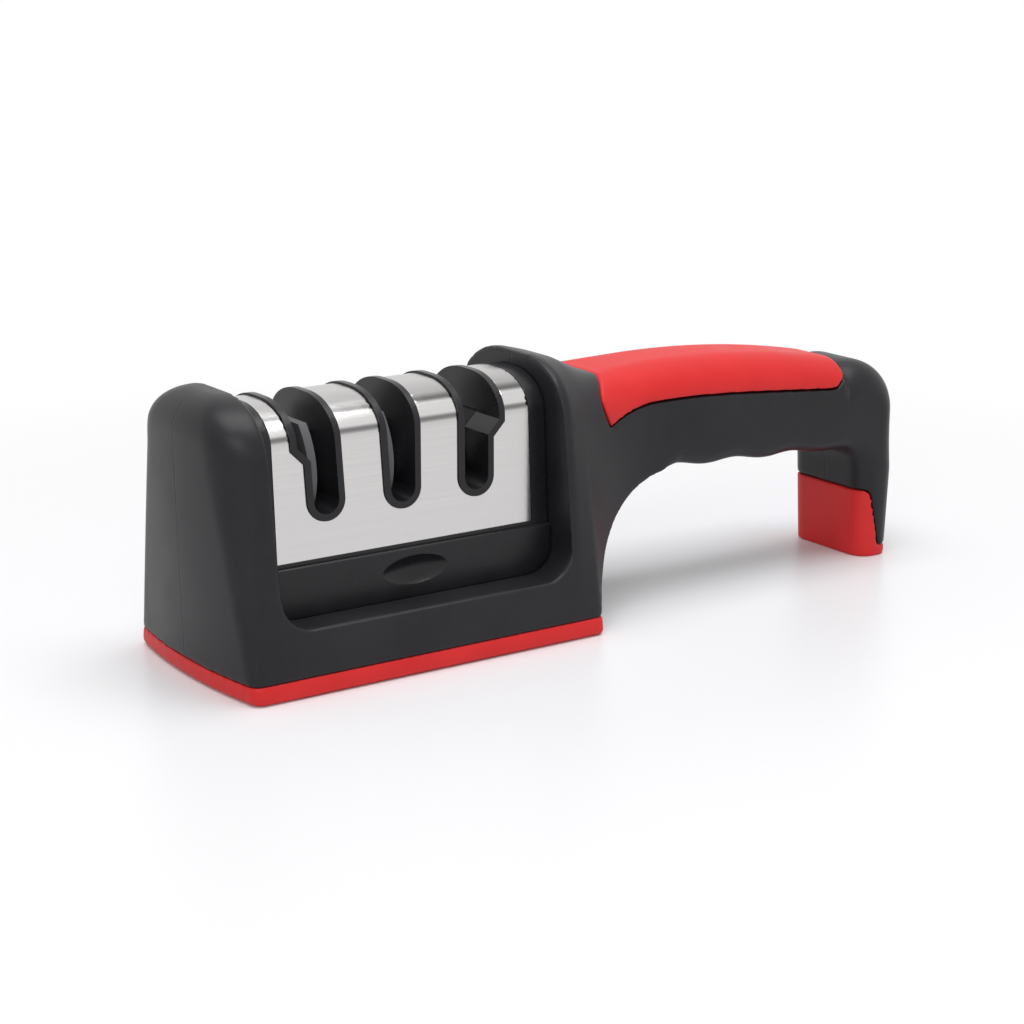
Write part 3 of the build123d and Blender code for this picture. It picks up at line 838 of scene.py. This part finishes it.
def painted_bend_reflections(tree, place):
    """Painted reflections: grey levels by height that paint bright highlight bands and dark
    reflection bands onto the steel near its bends.
    """
    lowest = painted_band_levels[0][0]
    highest = painted_band_levels[-1][0]
    split = tree.nodes.new("ShaderNodeSeparateXYZ")
    tree.links.new(place, split.inputs[0])
    painted_band_ramp = tree.nodes.new("ShaderNodeValToRGB")
    height = ramped(tree, split.outputs["Z"], 0, 1, lowest * mm, highest * mm)
    tree.links.new(height, painted_band_ramp.inputs["Fac"])
    stops = painted_band_ramp.color_ramp.elements
    for z, level in painted_band_levels[1:-1]:
        stops.new((z - lowest) / (highest - lowest))
    for (z, level), stop in zip(painted_band_levels, stops):
        stop.color = (level, level, level, 1)
    return painted_band_ramp.outputs["Color"]


def steel_material(name, dark, light, smooth, rough, line_strength, line_depth):
    """Steel sheet brushed along X, which mirrors more sharply along X than across, with painted
    highlight and dark reflection bands near its bends in its base colour.
    """
    material, shader, place = plain_material(name, dark, rough)
    tree = material.node_tree
    lines = effect_node(tree, brush_effect, place)
    shade = mixed(tree, ramped(tree, lines.outputs["Lines"], 0, 1), dark, light)
    # Painted highlight and painted dark reflection bands, set by height, multiply the steel's base
    # colour
    with_painted_bands = mixed(tree, 1.0, shade, painted_bend_reflections(tree, place), "MULTIPLY")
    tree.links.new(with_painted_bands, shader.inputs["Base Color"])
    tree.links.new(
        ramped(tree, lines.outputs["Lines"], smooth, rough), shader.inputs["Roughness"]
    )
    shader.inputs["Metallic"].default_value = 1.0
    shader.inputs["Anisotropic"].default_value = brushing_strength
    shader.inputs["Anisotropic Rotation"].default_value = quarter_turn
    along_x = tree.nodes.new("ShaderNodeCombineXYZ")
    along_x.inputs["X"].default_value = 1.0
    tree.links.new(along_x.outputs[0], shader.inputs["Tangent"])
    bumped(tree, lines.outputs["Lines"], shader, line_strength, line_depth * mm)
    return material


def ground_material(name, dark, light, smooth, rough, metallic):
    """Ground ceramic, carbide or plated steel, with a very fine grain."""
    material, shader, place = plain_material(name, dark, rough)
    tree = material.node_tree
    grain = effect_node(tree, grain_effect, place)
    grain.inputs["Grain Scale"].default_value = ground_scale
    shade = mixed(tree, ramped(tree, grain.outputs["Grain"], 0, 1), dark, light)
    tree.links.new(shade, shader.inputs["Base Color"])
    tree.links.new(
        ramped(tree, grain.outputs["Patches"], smooth, rough), shader.inputs["Roughness"]
    )
    shader.inputs["Metallic"].default_value = metallic
    bumped(tree, grain.outputs["Grain"], shader, ground_strength, ground_depth * mm)
    return material


grain_effect = moulded_grain()
brush_effect = brushed_lines()
black_plastic = moulded_material(
    "Black plastic", dark=(0.010, 0.010, 0.012), light=(0.016, 0.016, 0.0185),
    smooth=0.32, rough=0.43, grain_scale=2600.0, grain_depth=0.035, specular=0.25,
)
cartridge_plastic = moulded_material(
    "Cartridge plastic", dark=(0.008, 0.008, 0.0095), light=(0.013, 0.013, 0.015),
    smooth=0.24, rough=0.36, grain_scale=3000.0, grain_depth=0.02, specular=0.3,
)
holder_plastic = moulded_material(
    "Holder plastic", dark=(0.004, 0.004, 0.005), light=(0.007, 0.007, 0.008),
    smooth=0.40, rough=0.52, grain_scale=3000.0, grain_depth=0.02, specular=0.15,
)
guide_plastic = moulded_material(
    "Guide plastic", dark=(0.075, 0.075, 0.079), light=(0.10, 0.10, 0.105),
    smooth=0.34, rough=0.46, grain_scale=3000.0, grain_depth=0.02, specular=0.35,
)
red_rubber = moulded_material(
    "Red rubber", dark=(0.60, 0.017, 0.018), light=(0.68, 0.025, 0.026),
    smooth=0.40, rough=0.52, grain_scale=3200.0, grain_depth=0.03, specular=0.25,
)
brushed_steel = steel_material(
    "Brushed steel", dark=(0.63, 0.615, 0.61), light=(0.67, 0.655, 0.65),
    smooth=0.18, rough=0.24, line_strength=0.2, line_depth=0.004,
)
screw_steel = ground_material(
    "Screw steel", dark=(0.42, 0.42, 0.43), light=(0.55, 0.55, 0.56),
    smooth=0.336, rough=0.42, metallic=1.0,
)
carbide = ground_material(
    "Carbide", dark=(0.16, 0.16, 0.17), light=(0.26, 0.26, 0.28),
    smooth=0.32, rough=0.4, metallic=0.8,
)
grey_ceramic = ground_material(
    "Grey ceramic", dark=(0.34, 0.34, 0.36), light=(0.46, 0.46, 0.48),
    smooth=0.48, rough=0.6, metallic=0.0,
)
white_ceramic = ground_material(
    "White ceramic", dark=(0.78, 0.77, 0.74), light=(0.88, 0.87, 0.84),
    smooth=0.44, rough=0.55, metallic=0.0,
)

black_body()
red_parts()
eased("housing", "cartridge_housing", "cartridge", housing_ease, cartridge_plastic)
eased("cover", "steel_cover", "cartridge", cover_ease, brushed_steel)
for node in ("coarse_guide", "medium_guide"):
    eased(node + "_piece", node, "cartridge", guide_ease, guide_plastic)
for node in ("coarse_holder", "medium_holder", "fine_holder"):
    eased(node + "_piece", node, "cartridge", holder_ease, holder_plastic)

kept = {
    "base_plate": black_plastic,
    "shell_screws": screw_steel,
    "base_screws": screw_steel,
    "cartridge_base_cover": cartridge_plastic,
    "cartridge_screws": screw_steel,
    "coarse_blade_left": carbide,
    "coarse_blade_right": carbide,
    "medium_rod_left": grey_ceramic,
    "medium_rod_right": grey_ceramic,
    "fine_rod_left": white_ceramic,
    "fine_rod_right": white_ceramic,
}
for node, finish in kept.items():
    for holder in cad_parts[node].material_slots:
        holder.material = finish


# Floor, light and camera


def seen_directly(tree):
    """One for rays from the camera and for mirrored or passed rays, nought for the rest."""
    path = tree.nodes.new("ShaderNodeLightPath")
    total = path.outputs["Is Camera Ray"]
    for label in ("Is Glossy Ray", "Is Transmission Ray"):
        either = tree.nodes.new("ShaderNodeMath")
        either.operation = "MAXIMUM"
        tree.links.new(total, either.inputs[0])
        tree.links.new(path.outputs[label], either.inputs[1])
        total = either.outputs[0]
    return total


def floor_material():
    """Pale floor that keeps the object's shadow and turns to plain white further off."""
    material, shader, place = plain_material("Floor", (0.86, 0.86, 0.88), 0.35)
    shader.inputs["Specular IOR Level"].default_value = 0.3
    tree = material.node_tree
    spot = tree.nodes.new("ShaderNodeVectorMath")
    spot.operation = "SUBTRACT"
    spot.inputs[1].default_value = (floor_middle_x * mm, 0.0, 0.0)
    reach = tree.nodes.new("ShaderNodeVectorMath")
    reach.operation = "LENGTH"
    tree.links.new(place, spot.inputs[0])
    tree.links.new(spot.outputs[0], reach.inputs[0])
    far_off = ramped(tree, reach.outputs["Value"], 0, 1, white_start * mm, white_end * mm)
    share = tree.nodes.new("ShaderNodeMath")
    share.operation = "MULTIPLY"
    tree.links.new(far_off, share.inputs[0])
    tree.links.new(seen_directly(tree), share.inputs[1])
    white = tree.nodes.new("ShaderNodeEmission")
    blend = tree.nodes.new("ShaderNodeMixShader")
    tree.links.new(share.outputs[0], blend.inputs["Fac"])
    tree.links.new(shader.outputs[0], blend.inputs[1])
    tree.links.new(white.outputs[0], blend.inputs[2])
    tree.links.new(blend.outputs[0], tree.nodes["Material Output"].inputs["Surface"])
    return material


floor = slab("floor", -floor_half, floor_half, -floor_depth, 0, floor_half)
floor.data.materials.append(floor_material())

world = bpy.data.worlds.new("Studio")
bpy.context.scene.world = world
world.use_nodes = True
sky = world.node_tree
soft = sky.nodes["Background"]
soft.inputs["Color"].default_value = (1, 1, 1, 1)
soft.inputs["Strength"].default_value = soft_light
shown = sky.nodes.new("ShaderNodeBackground")
shown.inputs["Color"].default_value = (1, 1, 1, 1)
mix = sky.nodes.new("ShaderNodeMixShader")
sky.links.new(seen_directly(sky), mix.inputs["Fac"])
sky.links.new(soft.outputs[0], mix.inputs[1])
sky.links.new(shown.outputs[0], mix.inputs[2])
sky.links.new(mix.outputs[0], sky.nodes["World Output"].inputs["Surface"])


def lamp(name, place, target, width, height, watts):
    """A soft rectangular lamp that faces a target, in millimetres and watts."""
    data = bpy.data.lights.new(name, "AREA")
    data.shape = "RECTANGLE"
    data.size = width * mm
    data.size_y = height * mm
    data.energy = watts
    light = bpy.data.objects.new(name, data)
    light.location = Vector(place) * mm
    facing = Vector(target) - Vector(place)
    light.rotation_euler = facing.to_track_quat("-Z", "Y").to_euler()
    bpy.context.scene.collection.objects.link(light)


lamp_target = (40, 0, 30)
lamp("top_lamp", (30, -60, 750), lamp_target, width=700, height=500, watts=4.3)
lamp("front_lamp", (-450, -650, 520), lamp_target, width=500, height=400, watts=1.7)


def photo_camera():
    """The camera at the photograph's place."""
    back = Vector((
        -sin(camera_turn) * cos(camera_rise), -cos(camera_turn) * cos(camera_rise), sin(camera_rise)
    ))
    right = back.cross(Vector((0, 0, -1))).normalized()
    up = back.cross(right)
    across = cos(camera_roll) * right + sin(camera_roll) * up
    above = -sin(camera_roll) * right + cos(camera_roll) * up
    data = bpy.data.cameras.new("camera")
    data.lens = focal_pixels / picture_pixels * sensor_width
    data.sensor_width = sensor_width
    data.clip_start = nearest_metres
    camera = bpy.data.objects.new("camera", data)
    place = (Vector(camera_target) + back * camera_distance) * mm
    spin = Matrix((across, above, back)).transposed()
    camera.matrix_world = Matrix.Translation(place) @ spin.to_4x4()
    bpy.context.scene.collection.objects.link(camera)
    bpy.context.scene.camera = camera


photo_camera()
bpy.context.scene.view_settings.view_transform = "Standard"

bpy.context.view_layer.update()
